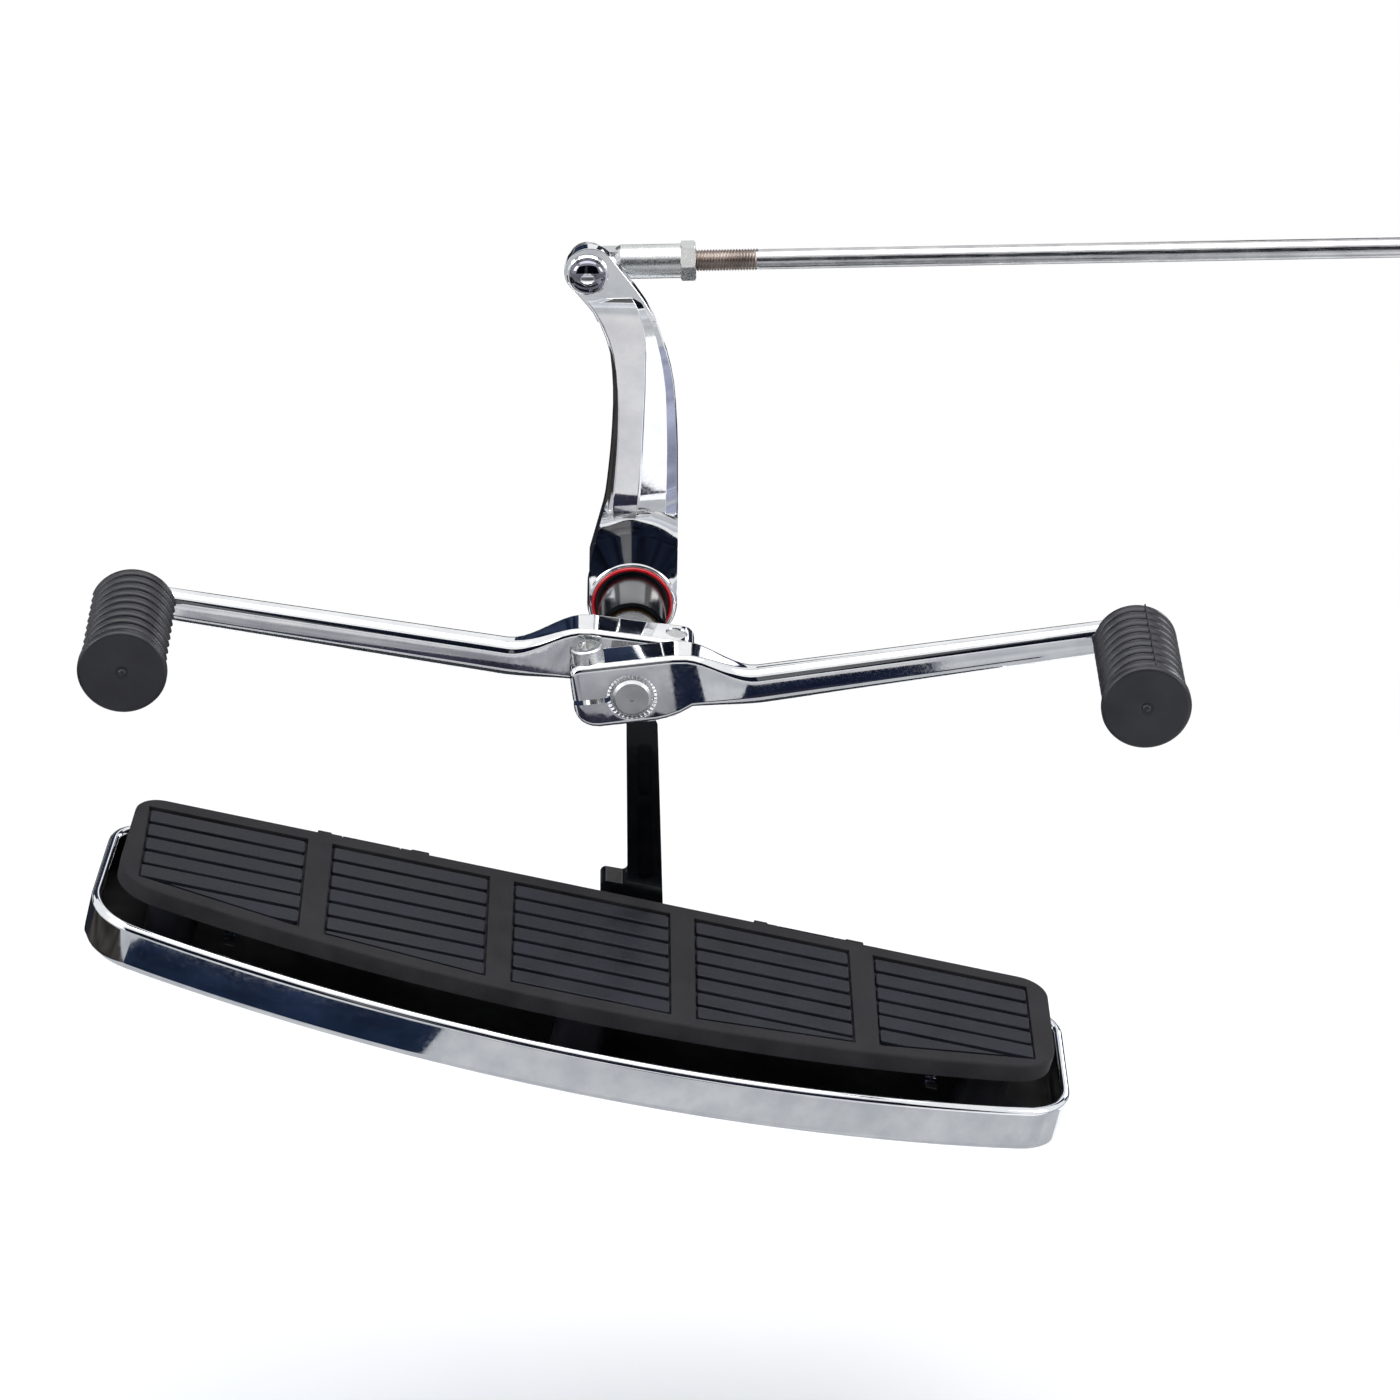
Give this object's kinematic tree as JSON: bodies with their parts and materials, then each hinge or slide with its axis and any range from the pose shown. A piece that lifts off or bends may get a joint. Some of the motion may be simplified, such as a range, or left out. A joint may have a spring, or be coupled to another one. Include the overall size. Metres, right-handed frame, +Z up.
{
  "type": "motorcycle floorboard extension kit",
  "caption": "Bracket that carries a folding rubber-topped chrome floorboard and a heel and toe shifter with its linkage rod, ahead of the frame bolts.",
  "frame": {"origin": "middle of the two frame bolts, on the bracket's mounting face", "axes": "+X rearward, +Y inboard out of the mounting face, +Z up"},
  "size_m": [0.5431, 0.158, 0.3324],
  "materials": {
    "black_paint": "gloss black",
    "bronze": "oiled",
    "rubber": "moulded, satin",
    "red_seal": "smooth",
    "chrome": "polished",
    "zinc": "bright zinc",
    "bare_steel": "turned"
  },
  "bodies": {
    "bracket": {"extension_bracket": "black_paint", "front_bush": "bronze", "rear_bush": "bronze", "support_rail": "black_paint", "rail_screws": "zinc", "stop_buttons": "rubber"},
    "shifter": {"shift_shaft": "bare_steel", "thrust_washer": "bare_steel", "retaining_ring": "bare_steel", "seal_ring": "red_seal", "inner_lever": "chrome", "hub_screw": "bare_steel", "pin_bolt": "chrome", "pin_washer": "chrome", "pin_nut": "zinc", "heel_lever": "chrome", "toe_lever": "chrome", "pinch_screws": "zinc", "heel_peg": "rubber", "toe_peg": "rubber", "peg_studs": "zinc", "front_rod_ball": "bare_steel"},
    "rod": {"front_rod_end": "zinc", "front_jam_nut": "zinc", "shift_rod": "zinc", "rear_jam_nut": "zinc", "rear_rod_end": "zinc"},
    "rear_ball": {"rear_rod_ball": "bare_steel"},
    "board": {"floorboard_pan": "chrome", "rubber_pad": "rubber", "pad_plate": "black_paint", "pad_isolators": "rubber", "isolator_studs": "zinc", "isolator_nuts": "zinc", "pad_clips": "zinc", "front_pan_hinge": "black_paint", "rear_pan_hinge": "black_paint", "hinge_screws": "zinc", "hinge_bolts": "zinc", "hinge_nuts": "zinc"}
  },
  "joints": [
    {"name": "shift_pivot", "type": "hinge", "parent": "bracket", "child": "shifter", "pos_m": [-0.0508, -0.039, 0.178], "axis": [0, 1, 0], "range_deg": [-8, 8]},
    {"name": "rod_pivot", "type": "hinge", "parent": "shifter", "child": "rod", "pos_m": [-0.0663, -0.0079, 0.308], "axis": [0, 1, 0], "range_deg": [-8.5, 8.5]},
    {"name": "rear_ball_swivel", "type": "hinge", "parent": "rod", "child": "rear_ball", "pos_m": [0.28366, -0.0079, 0.3135], "axis": [0, 1, 0], "continuous": true},
    {"name": "board_fold", "type": "hinge", "parent": "bracket", "child": "board", "pos_m": [-0.05446, -0.0445, 0.05566], "axis": [-0.972, 0, 0.2351], "range_deg": [0, 35]}
  ],
  "couplings": [
    {"joint": "rod_pivot", "follows": "shift_pivot", "ratio": -1}
  ]
}
